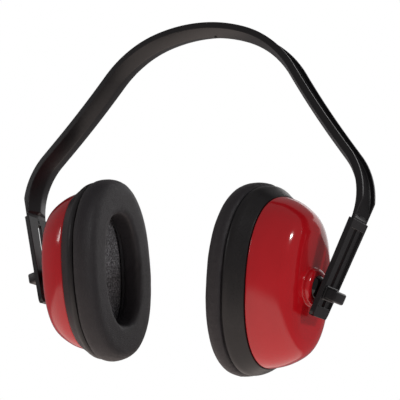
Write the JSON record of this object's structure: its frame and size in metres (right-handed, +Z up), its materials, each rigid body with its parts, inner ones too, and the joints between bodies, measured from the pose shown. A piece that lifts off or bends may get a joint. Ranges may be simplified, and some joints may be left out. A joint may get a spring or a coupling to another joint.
{
  "type": "earmuff hearing protector",
  "caption": "Earmuff with a sprung plastic headband, slotted arms, and oval ear cups with soft sealing cushions, held by ball studs that slide along the arms and swivel.",
  "frame": {"origin": "on the ridge of the headband's inner face, in the middle of the crown, where it rests on the head", "axes": "+X towards the right cup, +Y across the headband towards the back, +Z up"},
  "size_m": [0.2086, 0.0796, 0.1881],
  "materials": {
    "band_black": "moulded plastic with a soft sheen",
    "stud_black": "polished",
    "washer_steel": "plain spring steel",
    "socket_plastic": "plain moulded plastic",
    "shell_red": "glossy moulded plastic",
    "ring_black": "finely grained moulded plastic",
    "cushion_skin": "soft vinyl skin with a fine grain",
    "cushion_filling": "open foam",
    "liner_foam": "open dark foam"
  },
  "bodies": {
    "headband": {"headband": "band_black"},
    "slider_right": {"adjuster_button_right": "band_black", "spring_washer_right": "washer_steel"},
    "stud_right": {"ball_stud_right": "stud_black"},
    "swivel_right": {"swivel_washer_right": "socket_plastic"},
    "cup_right": {"cup_shell_right": "shell_red", "socket_retainer_right": "socket_plastic", "foam_liner_right": "liner_foam", "base_ring_right": "ring_black", "cushion_plate_right": "socket_plastic", "cushion_foam_right": "cushion_filling", "cushion_cover_right": "cushion_skin"},
    "slider_left": {"adjuster_button_left": "band_black", "spring_washer_left": "washer_steel"},
    "stud_left": {"ball_stud_left": "stud_black"},
    "swivel_left": {"swivel_washer_left": "socket_plastic"},
    "cup_left": {"cup_shell_left": "shell_red", "socket_retainer_left": "socket_plastic", "foam_liner_left": "liner_foam", "base_ring_left": "ring_black", "cushion_plate_left": "socket_plastic", "cushion_foam_left": "cushion_filling", "cushion_cover_left": "cushion_skin"}
  },
  "joints": [
    {"name": "slide_right", "type": "slide", "parent": "headband", "child": "slider_right", "axis": [0.3387, 0, 0.9409], "range_m": [-0.0033, 0.0304]},
    {"name": "spin_right", "type": "hinge", "parent": "slider_right", "child": "stud_right", "pos_m": [0.07926, 0, -0.13616], "axis": [0.9409, 0, -0.3387], "range_deg": [-25, 25]},
    {"name": "yaw_right", "type": "hinge", "parent": "stud_right", "child": "swivel_right", "pos_m": [0.07926, 0, -0.13616], "axis": [0.0713, -0.266, 0.9613], "range_deg": [-8, 8]},
    {"name": "tilt_right", "type": "hinge", "parent": "swivel_right", "child": "cup_right", "pos_m": [0.07926, 0, -0.13616], "axis": [0.1093, 0.96, 0.2576], "range_deg": [-10, 4]},
    {"name": "slide_left", "type": "slide", "parent": "headband", "child": "slider_left", "axis": [-0.3387, 0, 0.9409], "range_m": [-0.007, 0.0268]},
    {"name": "spin_left", "type": "hinge", "parent": "slider_left", "child": "stud_left", "pos_m": [-0.08048, 0, -0.13277], "axis": [-0.9409, 0, -0.3387], "range_deg": [-25, 25]},
    {"name": "yaw_left", "type": "hinge", "parent": "stud_left", "child": "swivel_left", "pos_m": [-0.08048, 0, -0.13277], "axis": [-0.0529, -0.2644, 0.9629], "range_deg": [-8, 8]},
    {"name": "tilt_left", "type": "hinge", "parent": "swivel_left", "child": "cup_left", "pos_m": [-0.08048, 0, -0.13277], "axis": [0.1044, -0.9605, -0.258], "range_deg": [-8, 5]}
  ]
}
